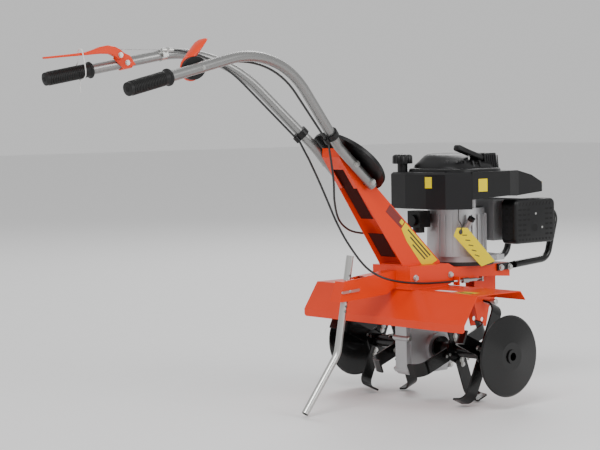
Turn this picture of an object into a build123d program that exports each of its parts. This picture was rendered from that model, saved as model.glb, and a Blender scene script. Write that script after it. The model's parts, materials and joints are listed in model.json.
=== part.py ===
"""Petrol tiller with a vertical-shaft engine, a folded steel column and a worm-driven tine axle.

Millimetres. +X is the machine's right, +Y is forward, +Z is up. The origin is on the ground,
under the middle of the tine axle.
"""
import os
from math import asin, atan2, cos, degrees, radians, sin, tan

from build123d import *

os.makedirs("parts", exist_ok=True)

# ---- driving dimensions -------------------------------------------------------------------------
axle_height = 130.0
side_disc_radius = 100.0
side_disc_x = 283.5
fender_half_width = 288.5
deck_half_width = 64.0
deck_top = 333.0
sheet = 2.5
tube_radius = 12.0
column_lean = 43.0          # column front edge, degrees above the horizontal
handle_skew = 1.16          # each handle tube sits this far off centre on its bolts, degrees
bolt_gap = 68.0             # between the two bolts of a handle tube
engine_y = 120.0            # crankshaft axis
worm_y = -38.0              # worm shaft axis
fit_gap = 0.05              # running clearance on a radius
shaft_radius = 12.5

# ---- frame of the column head: t runs up along the front edge, n points forward and up ----------
head_y, head_z = -235.0, 548.0
up_y, up_z = -cos(radians(column_lean)), sin(radians(column_lean))
out_y, out_z = sin(radians(column_lean)), cos(radians(column_lean))


def head(t, n):
    """Y and Z of a point t up the column head and n in front of the handle tubes' axes."""
    return head_y + up_y * t + out_y * n, head_z + up_z * t + out_z * n


def head_plane(x, t, n):
    """Plane at a point of the column head, its normal pointing out along n, local X across."""
    y, z = head(t, n)
    return Plane(origin=(x, y, z), x_dir=(1, 0, 0), z_dir=(0, out_y, out_z))


def side_plane(x, y=0.0, z=0.0):
    """Plane at a given X, with local X along +Y, local Y along +Z and its normal along +X."""
    return Plane(origin=(x, y, z), x_dir=(0, 1, 0), z_dir=(1, 0, 0))


def level_plane(x, y=0.0, z=0.0):
    """Upright plane at a given Y, with local X along +X, local Y along +Z, facing backward."""
    return Plane(origin=(x, y, z), x_dir=(1, 0, 0), z_dir=(0, -1, 0))


def save(piece, name):
    """Label a finished piece and write it."""
    piece.part.label = name
    export_step(piece.part, f"parts/{name}.step")


def side_slab(points, x_low, x_high):
    """Prism between two X values whose outline is given as (y, z) points."""
    with BuildPart() as slab:
        with BuildSketch(side_plane(x_low)):
            with BuildLine():
                Polyline(*points, close=True)
            make_face()
        extrude(amount=x_high - x_low)
    return slab.part


def plan_slab(points, z_low, z_high):
    """Prism between two heights whose outline is given as (x, y) points."""
    with BuildPart() as slab:
        with BuildSketch(Plane.XY.offset(z_low)):
            with BuildLine():
                Polyline(*points, close=True)
            make_face()
        extrude(amount=z_high - z_low)
    return slab.part


def tube_along(path, outer, inner=0.0):
    """Round bar or tube swept along a path of straight runs and tangent arcs."""
    start = Plane(origin=path @ 0, z_dir=path % 0)
    with BuildPart() as bar:
        with BuildSketch(start):
            Circle(outer)
            if inner:
                Circle(inner, mode=Mode.SUBTRACT)
        sweep(path=path)
    return bar.part


def round_bolt(origin, direction, shank_radius, shank_length, head_radius, head_height, nut=0.0):
    """Flange bolt: its head stands up from origin along direction, its shank runs the other way."""
    seat = Plane(origin=origin, z_dir=direction)
    with BuildPart() as bolt:
        with BuildSketch(seat):
            Circle(head_radius * 1.25)
        extrude(amount=head_height * 0.25)
        with BuildSketch(seat.offset(head_height * 0.25)):
            RegularPolygon(head_radius, 6)
        extrude(amount=head_height * 0.75)
        with BuildSketch(seat):
            Circle(shank_radius)
        extrude(amount=-shank_length)
        if nut:
            with BuildSketch(seat.offset(-nut)):
                RegularPolygon(head_radius, 6)
            extrude(amount=-head_height)
    return bolt.part


# ---- column -------------------------------------------------------------------------------------
column_foot_half, column_top_half = 41.5, 30.5
column_foot_z, column_top_z = 345.0, 641.0
plate_front = 9.0           # the head's side plates end this far in front of the tubes' axes
column_outline = [(-129, column_foot_z), (-1, column_foot_z), (-1, 350), head(-6, 15), head(-6, plate_front),
                  head(100, plate_front), head(106, 14), head(115, 14.5), (-325, column_top_z), (-325, 619)]
cavity_outline = [(-124, column_foot_z - 20), (60, column_foot_z - 20), head(-60, 70), head(101, 70),
                  head(101, 7), head(107, 11.5), head(113, 12), (-322.4, column_top_z - sheet), (-322.4, 620)]
web_lean = degrees(atan2(619 - column_foot_z, -325 + 129))


def column_half(z):
    """Half of the column's width at a height."""
    along = (z - column_foot_z) / (column_top_z - column_foot_z)
    return column_foot_half + (column_top_half - column_foot_half) * along


def column_body(outline, inset):
    """Solid of the column's side outline, its sides tapering in towards the top."""
    low, high = column_foot_z - 30, column_top_z + 10
    with BuildPart() as body:
        add(side_slab(outline, -60, 60))
        with BuildSketch(Plane.XZ.offset(-70)):
            with BuildLine():
                Polyline((inset - column_half(low), low), (column_half(low) - inset, low),
                         (column_half(high) - inset, high), (inset - column_half(high), high), close=True)
            make_face()
        extrude(amount=480, mode=Mode.INTERSECT)
    return body.part


upper_bolt = head(13 + bolt_gap, 0)
lower_bolt = head(13, 0)
column_cavity = column_body(cavity_outline, sheet)
with BuildPart() as column:
    add(column_body(column_outline, 0))
    add(column_cavity, mode=Mode.SUBTRACT)
    # cross plate that carries the round disc
    add(column_body([head(25, 6.6), head(25, plate_front), head(98, plate_front), head(98, 6.6)], 1))
    # foot plate
    add(side_slab([(-128, 345), (-2, 345), (-2, 348), (-128, 348)], -40.5, 40.5))
    # two windows in the rear web
    for low, high, half in ((30, 92, 25), (150, 300, 20)):
        middle = (low + high) / 2
        across, rise = cos(radians(web_lean)), sin(radians(web_lean))
        centre = Vector(0, -129 + middle * across, column_foot_z + middle * rise)
        with BuildSketch(Plane(origin=centre, x_dir=(1, 0, 0), z_dir=(0, -rise, across))):
            RectangleRounded(2 * half, high - low, 3)
        extrude(amount=12, both=True, mode=Mode.SUBTRACT)
    # the tubes' bolts: a close hole at the upper one, an arc slot at the lower one
    with BuildSketch(side_plane(-60, *upper_bolt)):
        Circle(4 + fit_gap)
    extrude(amount=120, mode=Mode.SUBTRACT)
    with BuildSketch(side_plane(-60, *lower_bolt)):
        SlotOverall(16.5, 8.8, rotation=90 - column_lean)
    extrude(amount=120, mode=Mode.SUBTRACT)
save(column, "column")

# ---- base of the column and the engine deck -----------------------------------------------------
base_half = 67.0
link_x, link_z = 81.0, 300.0
idler_pivot = (49.0, 100.0)
with BuildPart() as column_base:
    add(side_slab([(-127, 293), (-127, 345), (4, 345), (28, 333.2), (28, 309), (10, 293)],
                  deck_half_width + 0.2, base_half + 0.2))
    mirror(about=Plane.YZ)
    add(side_slab([(-130, 287.6), (4, 287.6), (4, 293), (-127, 293), (-127, 342), (4, 342), (4, 345),
                   (-130, 345)],
                  -base_half - 0.2, base_half + 0.2))
    with BuildSketch(Plane.XY.offset(280)):
        with Locations((0, worm_y)):
            Rectangle(52, 81)
    extrude(amount=20, mode=Mode.SUBTRACT)
    for y in (-112, 10):
        with BuildSketch(side_plane(-80, y, 316)):
            Circle(4.2)
        extrude(amount=160, mode=Mode.SUBTRACT)
    # tab that stops the clutch cable
    add(plan_slab([(base_half, 21), (link_x + 6, 21), (link_x + 6, 24), (base_half, 24)], 289, 311))
    with BuildSketch(level_plane(link_x, 15, link_z)):
        Circle(3.2)
    extrude(amount=-15, mode=Mode.SUBTRACT)
save(column_base, "column_base")

deck_front = 232.0
with BuildPart() as deck:
    add(side_slab([(-120, 299), (-120, deck_top), (deck_front, deck_top), (deck_front, 297), (150, 303),
                   (40, 297)], -deck_half_width, deck_half_width))
    add(side_slab([(-140, 280), (-140, deck_top - 3), (260, deck_top - 3), (260, 280)],
                  3 - deck_half_width, deck_half_width - 3), mode=Mode.SUBTRACT)
    with BuildSketch(Plane.XY.offset(deck_top - 5)):
        with Locations((0, engine_y)):
            Circle(34)
    extrude(amount=10, mode=Mode.SUBTRACT)
    for y, z in ((-112, 316), (10, 316), (193, 322), (225, 322)):
        with BuildSketch(side_plane(-80, y, z)):
            Circle(4.2)
        extrude(amount=160, mode=Mode.SUBTRACT)
    # stud and collar of the idler arm
    for low, radius in ((291, 4), (297.4, 7)):
        with BuildSketch(Plane.XY.offset(low)):
            with Locations(idler_pivot):
                Circle(radius)
        extrude(amount=deck_top - 2 - low)
save(deck, "deck")

# ---- front bracket with its spring pin ----------------------------------------------------------
pin_y, pin_z = 188.0, 232.0
with BuildPart() as front_bracket:
    add(side_slab([(150, 304), (229, 304), (229, 240), (204, 215), (192, 166), (166, 166), (150, 220)],
                  -16, 16))
    add(side_slab([(140, 301), (226, 301), (226, 150), (140, 150)], -13, 13), mode=Mode.SUBTRACT)
    add(plan_slab([(-61, 150), (61, 150), (61, 229), (-61, 229)], 301, 304))
    with BuildSketch(side_plane(-40, pin_y, pin_z)):
        Circle(5 + fit_gap)
    extrude(amount=80, mode=Mode.SUBTRACT)
    with BuildSketch(side_plane(-40, 178, 185)):
        Circle(6)
    extrude(amount=80, mode=Mode.SUBTRACT)
save(front_bracket, "front_bracket")

with BuildPart() as hitch_pin:
    with BuildSketch(side_plane(-22, pin_y, pin_z)):
        Circle(5)
    extrude(amount=62)
    with BuildSketch(side_plane(40, pin_y, pin_z)):
        Circle(8)
    extrude(amount=18)
    fillet(hitch_pin.edges().group_by(Axis.X)[-1], 4)
save(hitch_pin, "hitch_pin")

# ---- round handle disc --------------------------------------------------------------------------
disc_t, disc_back = 65.6, 16.5
with BuildPart() as handle_disc:
    with BuildSketch(head_plane(0, disc_t, disc_back)):
        Circle(100)
    extrude(amount=9)
    with BuildSketch(head_plane(0, disc_t, disc_back + 9)):
        Circle(92)
    extrude(amount=-3.5, mode=Mode.SUBTRACT)
    with BuildSketch(head_plane(0, disc_t, disc_back + 4)):
        Circle(34)
    extrude(amount=5)
    with BuildSketch(head_plane(0, disc_t, disc_back)):
        with PolarLocations(63, 8, start_angle=22.5):
            Rectangle(58, 3)
    extrude(amount=8.5)
    with BuildSketch(head_plane(0, 61, plate_front)):
        RectangleRounded(50, 70, 6)
    extrude(amount=disc_back - plate_front)
save(handle_disc, "handle_disc")

# ---- handle tubes -------------------------------------------------------------------------------
tube_x = 46.6
tube_bend = Vector(tube_x, *head(144, 0))
tube_crown = Vector(121.9, -582.2, 886.1)
tube_end = Vector(164.4, -1021.8, 795.6)
grip_run = (tube_crown - tube_end).normalized()
tube_wall = 1.8
tilt_axis = Axis((0, *upper_bolt), (1, 0, 0))


def on_right(shape):
    """A shape of the straight right handle, turned to where the right handle sits."""
    return shape.rotate(tilt_axis, handle_skew)


def on_left(shape):
    """A shape drawn on the right handle, mirrored and turned to where the left handle sits."""
    return shape.mirror(Plane.YZ).rotate(tilt_axis, -handle_skew)


def grip_plane(along, aside=0.0, above=0.0):
    """Plane square to the grip run: along from the tube's end, local X outboard, local Y up."""
    across = Vector(0, 0, 1).cross(grip_run).normalized() * -1
    up = across.cross(grip_run) * -1
    if up.Z < 0:
        up = up * -1
    spot = tube_end + grip_run * along + across * aside + up * above
    return Plane(origin=spot, x_dir=across, z_dir=grip_run)


def lever_plane(aside):
    """Plane along the grip: local X forward from the tube's end, local Y up, normal sideways."""
    flat = grip_plane(0, aside)
    up = grip_plane(0, 0, 1).origin - grip_plane(0).origin
    return Plane(origin=flat.origin, x_dir=grip_run, z_dir=grip_run.cross(up))


with BuildLine() as tube_line:
    FilletPolyline(Vector(tube_x, *head(-2, 0)), tube_bend, tube_crown, tube_end, radius=[60, 292])
straight_tube = tube_along(tube_line.line, tube_radius, tube_radius - tube_wall)
throttle_along, bracket_along = 206.0, 202.0


def drilled_tube(along, radius):
    """Handle tube with its two column bolt holes and one cross hole in the grip run."""
    with BuildPart() as tube:
        add(straight_tube)
        for y, z in (upper_bolt, lower_bolt):
            with BuildSketch(side_plane(tube_x - 20, y, z)):
                Circle(4.02)
            extrude(amount=40, mode=Mode.SUBTRACT)
        with BuildSketch(lever_plane(-30)):
            with Locations((along, 0)):
                Circle(radius)
        extrude(amount=60, mode=Mode.SUBTRACT)
    return tube.part


with BuildPart() as right_handle_tube:
    add(on_right(drilled_tube(throttle_along, 2.52)))
save(right_handle_tube, "right_handle_tube")
with BuildPart() as left_handle_tube:
    add(on_left(drilled_tube(bracket_along, 3.02)))
save(left_handle_tube, "left_handle_tube")

grip_length = 118.0
with BuildPart() as grip:
    with BuildSketch(grip_plane(-4)):
        Circle(15)
    extrude(amount=grip_length)
    with BuildSketch(grip_plane(30)):
        Circle(16.5)
    extrude(amount=62)
    with BuildSketch(grip_plane(grip_length - 10)):
        Circle(19)
    extrude(amount=6)
    with BuildSketch(grip_plane(0)):
        Circle(tube_radius)
    extrude(amount=grip_length, mode=Mode.SUBTRACT)
for turn, name in ((on_right, "right_grip"), (on_left, "left_grip")):
    with BuildPart() as placed_grip:
        add(turn(grip.part))
    save(placed_grip, name)

clamp_run = (tube_crown - tube_bend).normalized()
back_run = (tube_end - tube_crown).normalized()
clamp_side = (back_run - clamp_run * back_run.dot(clamp_run)).normalized() * 20
with BuildPart() as clamp:
    with BuildSketch(Plane(origin=tube_bend + clamp_run * 36, z_dir=clamp_run)):
        Circle(17)
        Circle(tube_radius, mode=Mode.SUBTRACT)
    extrude(amount=15)
    with BuildSketch(Plane(origin=tube_bend + clamp_run * 36 + clamp_side, z_dir=clamp_run)):
        Circle(6.5)
    extrude(amount=15)
    with BuildSketch(Plane(origin=tube_bend + clamp_run * 30 + clamp_side, z_dir=clamp_run)):
        Circle(3.9)
    extrude(amount=30, mode=Mode.SUBTRACT)
    with BuildSketch(Plane(origin=tube_bend + clamp_run * 30, z_dir=clamp_run)):
        Circle(tube_radius)
    extrude(amount=30, mode=Mode.SUBTRACT)
for turn, name in ((on_right, "right_cable_clamp"), (on_left, "left_cable_clamp")):
    with BuildPart() as placed_clamp:
        add(turn(clamp.part))
    save(placed_clamp, name)

# ---- bolts of the handles -----------------------------------------------------------------------
lever_pivot_along, lever_pivot_above = 180.0, 21.0
with BuildPart() as tube_bolts:
    for y, z in (upper_bolt, lower_bolt):
        add(round_bolt((tube_x + tube_radius, y, z), (1, 0, 0), 4, 41, 6.5, 5.5, nut=30.5))
with BuildPart() as right_handle_bolts:
    add(on_right(tube_bolts.part))
    screw_seat = grip_plane(throttle_along, tube_radius)
    add(on_right(round_bolt(screw_seat.origin, screw_seat.x_dir, 2.5, 30, 4, 3)))
save(right_handle_bolts, "right_handle_bolts")
with BuildPart() as left_handle_bolts:
    add(on_left(tube_bolts.part))
    for along, above, aside, reach in ((bracket_along, 0, 15.3, 28),
                                       (lever_pivot_along, lever_pivot_above, 30, 19)):
        seat = grip_plane(along, -aside, above)
        add(on_left(round_bolt(seat.origin, seat.x_dir * -1, 3, reach, 5, 4)))
save(left_handle_bolts, "left_handle_bolts")

# ---- clutch lever, its bracket and its wire -----------------------------------------------------
with BuildPart() as bracket:
    # a strap round the tube and a cheek on its inner side that carries the lever's pivot
    with BuildSketch(grip_plane(188)):
        Circle(15)
        Circle(tube_radius, mode=Mode.SUBTRACT)
    extrude(amount=28)
    with BuildSketch(lever_plane(-12.2)):
        with BuildLine():
            Polyline((168, 16), (186, 31), (212, 14), (222, -8), (190, -12), close=True)
        make_face()
    extrude(amount=-3)
    with BuildSketch(lever_plane(-30)):
        with Locations((lever_pivot_along, lever_pivot_above), (bracket_along, 0)):
            Circle(3.02)
    extrude(amount=60, mode=Mode.SUBTRACT)
    with BuildSketch(grip_plane(150)):
        Circle(tube_radius)
    extrude(amount=80, mode=Mode.SUBTRACT)
with BuildPart() as lever_bracket:
    add(on_left(bracket.part))
save(lever_bracket, "lever_bracket")

with BuildPart() as lever:
    with BuildSketch(lever_plane(-15.7)):
        with BuildLine():
            Polyline((-8, 46), (-8, 53), (34, 50), (70, 41), (100, 37), (126, 42), (148, 45.5), (162, 41),
                     (178, 29), (188, 27), (189, 15), (176, 13), (160, 26), (148, 34), (128, 35), (100, 31),
                     (68, 35), (34, 44), close=True)
        make_face()
    extrude(amount=-14)
    with BuildSketch(lever_plane(-40)):
        with Locations((lever_pivot_along, lever_pivot_above)):
            Circle(3 + fit_gap)
    extrude(amount=60, mode=Mode.SUBTRACT)
with BuildPart() as clutch_lever:
    add(on_left(lever.part))
save(clutch_lever, "clutch_lever")

wire_aside = -22.6
wire_back = grip_plane(175, wire_aside, 35).origin
wire_front = grip_plane(292, wire_aside, 13.5).origin
wire_run = (wire_front - wire_back).normalized()
with BuildPart() as wire:
    with BuildSketch(Plane(origin=wire_back, z_dir=wire_run)):
        Circle(0.9)
    extrude(amount=(wire_front - wire_back).length + 8)
    with BuildSketch(Plane(origin=wire_back, z_dir=wire_run)):
        Circle(2)
    extrude(amount=4)
with BuildPart() as clutch_wire:
    add(on_left(wire.part))
save(clutch_wire, "clutch_wire")

with BuildPart() as adjuster:
    with BuildSketch(Plane(origin=wire_front, z_dir=wire_run)):
        Circle(4)
    extrude(amount=30)
    with BuildSketch(Plane(origin=wire_front + wire_run * 12, z_dir=wire_run)):
        RegularPolygon(6, 6)
    extrude(amount=6)
    with BuildSketch(Plane(origin=wire_front - wire_run, z_dir=wire_run)):
        Circle(0.9 + 0.09)
    extrude(amount=12, mode=Mode.SUBTRACT)
    with BuildSketch(grip_plane(296)):
        Circle(14)
    extrude(amount=14)
    with BuildSketch(lever_plane(-12)):
        with BuildLine():
            Polyline((296, -4), (296, 16), (310, 14), (310, -4), close=True)
        make_face()
    extrude(amount=-8)
    add(straight_tube, mode=Mode.SUBTRACT)
    with BuildSketch(grip_plane(280)):
        Circle(tube_radius)
    extrude(amount=50, mode=Mode.SUBTRACT)
with BuildPart() as cable_adjuster:
    add(on_left(adjuster.part))
save(cable_adjuster, "cable_adjuster")

# ---- control cables -----------------------------------------------------------------------------
cable_radius = 2.7
clamp_low = tube_bend + clamp_run * 34 + clamp_side
crown_inside = tube_crown + (back_run - clamp_run).normalized() * 31
with BuildLine() as upper_route:
    FilletPolyline(wire_front + wire_run * 32, crown_inside + Vector(-15, 0, 0), clamp_low, radius=[272])
with BuildPart() as clutch_cable_upper:
    add(on_left(tube_along(upper_route.line, cable_radius)))
save(clutch_cable_upper, "clutch_cable_upper")
with BuildLine() as throttle_route:
    FilletPolyline(grip_plane(244, -20, 0).origin, crown_inside + Vector(-3, 0, 0), clamp_low, radius=[272])
with BuildPart() as throttle_cable_upper:
    add(on_right(tube_along(throttle_route.line, cable_radius)))
save(throttle_cable_upper, "throttle_cable_upper")
lower_points = [(-52.4, -367.6, 643), (-50, -350, 612), (-43, -327, 562), (-30, -311, 512), (-9, -301, 460),
                (18, -288, 408), (48, -264, 356), (68, -232, 329), (79, -180, 313), (83, -110, 304),
                (83, -45, 301), (81, 8, 300)]
# The route lies behind the column from the right clamp to the carburettor on the engine's left.
throttle_points = [(52.4, -374.3, 640.5), (50, -368, 610), (44, -356, 562), (28, -340, 514), (2, -305, 470),
                   (-28, -250, 442), (-52, -190, 428), (-58, -130, 424), (-54, -75, 428), (-46, -35, 442)]


def open_route(points):
    """Path through the points, each arc as large as the two runs beside it allow."""
    spots = [Vector(*p) for p in points]
    radii = []
    for before, here, after in zip(spots, spots[1:], spots[2:]):
        turn = (here - before).get_angle(after - here)
        shorter = min((here - before).length, (after - here).length)
        radii.append(0.45 * shorter / tan(radians(turn / 2)))
    with BuildLine() as route:
        FilletPolyline(*spots, radius=radii)
    return route.line


with BuildPart() as throttle_cable:
    add(tube_along(open_route(throttle_points), cable_radius))
save(throttle_cable, "throttle_cable")
with BuildPart() as clutch_cable:
    add(tube_along(open_route(lower_points), cable_radius))
    # crimped ferrule behind the tab of the column base, a neck through it, a bored stop in front
    for y, radius, length in ((7, 3.4, 14), (20, 3.0, 5), (24, 4.6, 10.2)):
        with BuildSketch(level_plane(link_x, y, link_z)):
            Circle(radius)
        extrude(amount=-length)
    with BuildSketch(level_plane(link_x, 26, link_z)):
        Circle(2.2)
    extrude(amount=-10, mode=Mode.SUBTRACT)
save(clutch_cable, "clutch_cable")
with BuildPart() as clutch_link:
    with BuildSketch(level_plane(link_x, 30, link_z)):
        Circle(1.6)
    extrude(amount=-76)
    with BuildSketch(level_plane(link_x, 38, link_z)):
        Circle(6.5)
    extrude(amount=-22)
    with BuildSketch(level_plane(link_x, 60, link_z)):
        Circle(4.2)
    extrude(amount=-30)
save(clutch_link, "clutch_link")

# ---- throttle -----------------------------------------------------------------------------------
with BuildPart() as throttle_body:
    with BuildSketch(lever_plane(-15.5)):
        with Locations((throttle_along, 0)):
            Ellipse(34, 25)
    extrude(amount=-7.5)
    with BuildSketch(lever_plane(-8)):
        with Locations((throttle_along, 0)):
            Rectangle(44, 20)
    extrude(amount=-8)
    with BuildSketch(grip_plane(150)):
        Circle(tube_radius)
    extrude(amount=110, mode=Mode.SUBTRACT)
    with BuildSketch(lever_plane(-23)):
        with Locations((throttle_along, 0)):
            Circle(7)
    extrude(amount=-9)
    with BuildSketch(lever_plane(0)):
        with Locations((throttle_along, 0)):
            Circle(2.52)
    extrude(amount=-40, mode=Mode.SUBTRACT)
with BuildPart() as throttle_housing:
    add(on_right(throttle_body.part))
save(throttle_housing, "throttle_housing")
with BuildPart() as paddle:
    with BuildSketch(lever_plane(-23.4)):
        with Locations((throttle_along - 4, 0)):
            Ellipse(32, 27)
        with BuildLine():
            Polyline((throttle_along - 34, 10), (throttle_along + 26, 62), (throttle_along + 36, 60),
                     (throttle_along + 36, 50), (throttle_along + 20, 22), close=True)
        make_face()
    extrude(amount=-8.2)
    with BuildSketch(lever_plane(-20)):
        with Locations((throttle_along, 0)):
            Circle(7 + fit_gap)
    extrude(amount=-20, mode=Mode.SUBTRACT)
with BuildPart() as throttle_paddle:
    add(on_right(paddle.part))
save(throttle_paddle, "throttle_paddle")

# ---- fender -------------------------------------------------------------------------------------
fender_outer = [(-170, 201), (-170, 220), (-124, 287.6), (27, 287.6), (44, 266)]
fender_inner = [(42.4, 264.8), (26, 285.6), (-123, 285.6), (-168, 219.4), (-168, 201)]
with BuildPart() as fender:
    add(side_slab(fender_outer + fender_inner, -fender_half_width, fender_half_width))
    with BuildSketch(Plane.XY.offset(270)):
        with Locations((0, worm_y)):
            RectangleRounded(60, 84, 8)
    extrude(amount=30, mode=Mode.SUBTRACT)
    lip_corners = fender.edges().filter_by(Axis.Y).filter_by_position(Axis.Z, 200, 202)
    fillet(lip_corners, 9)
save(fender, "fender")

# ---- depth bar and its arm ----------------------------------------------------------------------
bar_radius = 9.0
bar_top, bar_knee, bar_foot = Vector(0, -267, 378), Vector(0, -313, 142), Vector(0, -420, 8)
bar_run = (bar_top - bar_knee).normalized()
pin_at = bar_knee + bar_run * 154
with BuildPart() as depth_arm:
    add(side_slab([(-134, 333), (-215, 327), (-300, 317), (-318, 269), (-240, 272), (-162, 277), (-134, 292)],
                  -17, 17))
    add(side_slab([(-127, 296), (-213, 324), (-298, 330), (-330, 262), (-240, 275), (-162, 280)],
                  -14.5, 14.5), mode=Mode.SUBTRACT)
    add(side_slab([(-130, 293), (-134, 290), (-134, 333), (-130, 333)], -17, 17))
    add(side_slab([(-268, 322), (-302, 317), (-319, 269), (-285, 269)], -17, 17))
    with BuildSketch(Plane(origin=bar_knee + bar_run * 100, z_dir=bar_run)):
        Circle(bar_radius + fit_gap)
    extrude(amount=100, mode=Mode.SUBTRACT)
    with BuildSketch(side_plane(-40, pin_at.Y, pin_at.Z)):
        Circle(3 + fit_gap)
    extrude(amount=80, mode=Mode.SUBTRACT)
save(depth_arm, "depth_arm")
with BuildLine() as bar_line:
    FilletPolyline(bar_top, bar_knee, bar_foot, radius=[55])
with BuildPart() as depth_bar:
    add(tube_along(bar_line.line, bar_radius, bar_radius - 1.5))
    for step in range(-4, 4):
        hole = pin_at + bar_run * 12.5 * step
        with BuildSketch(side_plane(-20, hole.Y, hole.Z)):
            Circle(3.4)
        extrude(amount=40, mode=Mode.SUBTRACT)
save(depth_bar, "depth_bar")
with BuildPart() as depth_pin:
    with BuildSketch(side_plane(-21, pin_at.Y, pin_at.Z)):
        Circle(3)
    extrude(amount=45)
    with BuildSketch(side_plane(17.4, pin_at.Y, pin_at.Z)):
        with Locations((0, 0)):
            SlotOverall(58, 7, rotation=4)
    extrude(amount=3)
save(depth_pin, "depth_pin")

# ---- worm-drive leg -----------------------------------------------------------------------------
leg_outline = [(-100, 76), (-90, 68), (42, 68), (62, 88), (62, 168), (44, 196), (0, 214), (0, 293), (12, 293),
               (12, 299), (-88, 299), (-88, 293), (-76, 293), (-76, 214), (-100, 200)]
leg_boss = 24.3
wheel_tip, worm_tip = 27.0, 10.4
bearing_radius = 38.0
leg_bolt_spots = ((-95.5, 160), (-93, 81), (52, 81), (52, 167))
with BuildPart() as leg:
    add(side_slab(leg_outline, 0, 20))
    add(side_slab([(-86, 74), (36, 74), (54, 92), (54, 164), (38, 190), (-6, 206), (-6, 293), (-70, 293),
                   (-70, 206), (-86, 196)], 0, 24))
    with BuildSketch(side_plane(0, 0, axle_height)):
        Circle(bearing_radius)
    extrude(amount=36)
    with BuildSketch(side_plane(0)):
        with Locations(*leg_bolt_spots):
            Circle(8)
    extrude(amount=leg_boss)
    with BuildSketch(side_plane(-1, 0, axle_height)):
        Circle(wheel_tip + 3)
    extrude(amount=13, mode=Mode.SUBTRACT)
    with BuildSketch(side_plane(-1, 0, axle_height)):
        Circle(shaft_radius + fit_gap)
    extrude(amount=80, mode=Mode.SUBTRACT)
    with BuildSketch(Plane.XY.offset(90)):
        with Locations((0, worm_y)):
            Circle(14)
    extrude(amount=80, mode=Mode.SUBTRACT)
    with BuildSketch(Plane.XY.offset(80)):
        with Locations((0, worm_y)):
            Circle(8 + fit_gap)
    extrude(amount=230, mode=Mode.SUBTRACT)
    with BuildSketch(side_plane(-1)):
        with Locations(*leg_bolt_spots):
            Circle(3.52)
    extrude(amount=60, mode=Mode.SUBTRACT)
save(leg, "leg_right")
with BuildPart() as leg_left:
    add(leg.part.mirror(Plane.YZ))
save(leg_left, "leg_left")
with BuildPart() as frame_bolts:
    for y, z in leg_bolt_spots:
        add(round_bolt((leg_boss, y, z), (1, 0, 0), 3.5, 56, 5.5, 5, nut=2 * leg_boss))
    for side in (-1, 1):
        for y, z in ((-112, 316), (10, 316)):
            add(round_bolt((side * (base_half + 0.2), y, z), (side, 0, 0), 4, 22, 6.5, 6, nut=6.5))
        for y, z in ((193, 322), (225, 322)):
            add(round_bolt((side * (deck_half_width + 6), y, z), (side, 0, 0), 4, 22, 6.5, 6, nut=9.3))
save(frame_bolts, "frame_bolts")

# ---- worm shaft with its pulley -----------------------------------------------------------------
belt_low, belt_high = 305.0, 317.0
drive_radius, driven_radius = 22.0, 36.0


def pulley(x, y, radius, hub):
    """Grooved belt pulley round a vertical axis."""
    with BuildPart() as wheel:
        with BuildSketch(level_plane(x, y)):
            with BuildLine():
                Polyline((0, belt_low - 2), (radius + 4, belt_low - 2), (radius + 4, belt_low),
                         (radius - 1, belt_low + 4), (radius - 1, belt_high - 4), (radius + 4, belt_high),
                         (radius + 4, belt_high + 2), (0, belt_high + 2), close=True)
            make_face()
        revolve(axis=Axis((x, y, 0), (0, 0, 1)))
        with BuildSketch(Plane.XY.offset(belt_low - 5)):
            with Locations((x, y)):
                Circle(hub)
        extrude(amount=-(belt_low - 5) + belt_high + 6)
    return wheel.part


with BuildPart() as worm_shaft:
    with BuildSketch(Plane.XY.offset(82)):
        with Locations((0, worm_y)):
            Circle(8)
    extrude(amount=belt_high - 82)
    with BuildSketch(Plane.XY.offset(104)):
        with Locations((0, worm_y)):
            Circle(worm_tip)
    extrude(amount=52)
    for turn in range(5):
        with BuildSketch(Plane.XY.offset(107 + 10 * turn)):
            with Locations((0, worm_y)):
                Circle(worm_tip + 1)
                Circle(8.4, mode=Mode.SUBTRACT)
        extrude(amount=5, mode=Mode.SUBTRACT)
save(worm_shaft, "worm_shaft")
with BuildPart() as driven_pulley:
    add(pulley(0, worm_y, driven_radius, 14))
    with BuildSketch(Plane.XY.offset(290)):
        with Locations((0, worm_y)):
            Circle(8)
    extrude(amount=40, mode=Mode.SUBTRACT)
save(driven_pulley, "driven_pulley")
with BuildPart() as drive_belt:
    with BuildSketch(Plane.XY.offset(belt_low + 3)):
        for grow, mode in ((6.0, Mode.ADD), (0.9, Mode.SUBTRACT)):
            near, far = drive_radius + grow, driven_radius + grow
            lean = asin((far - near) / (engine_y - worm_y))
            with Locations((0, engine_y)):
                Circle(near, mode=mode)
            with Locations((0, worm_y)):
                Circle(far, mode=mode)
            ax, ay = near * cos(lean), engine_y + near * sin(lean)
            bx, by = far * cos(lean), worm_y + far * sin(lean)
            Polygon((ax, ay), (bx, by), (-bx, by), (-ax, ay), align=None, mode=mode)
    extrude(amount=belt_high - belt_low - 6)
save(drive_belt, "drive_belt")

# ---- axle, worm wheel, tines and side discs -----------------------------------------------------
axle_end = 128.0
pin_places = (118.0, 136.0)


def pin_holes():
    """Upright cross holes for the hub pins, both sides."""
    with BuildPart() as holes:
        with BuildSketch(Plane.XY.offset(axle_height - 40)):
            with Locations(*[(side * place, 0) for side in (1, -1) for place in pin_places]):
                Circle(3.02)
        extrude(amount=80)
    return holes.part


with BuildPart() as axle:
    with BuildSketch(side_plane(-axle_end, 0, axle_height)):
        Circle(shaft_radius)
    extrude(amount=2 * axle_end)
    add(pin_holes(), mode=Mode.SUBTRACT)
save(axle, "axle")
with BuildPart() as worm_wheel:
    with BuildSketch(side_plane(-9, 0, axle_height)):
        Circle(wheel_tip - 4)
        with PolarLocations(wheel_tip - 3, 24):
            Rectangle(6, 3.6)
        Circle(shaft_radius, mode=Mode.SUBTRACT)
    extrude(amount=18)
save(worm_wheel, "worm_wheel")

hub_outer = 17.0
blade_width, blade_thick = 34.0, 5.0


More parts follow.
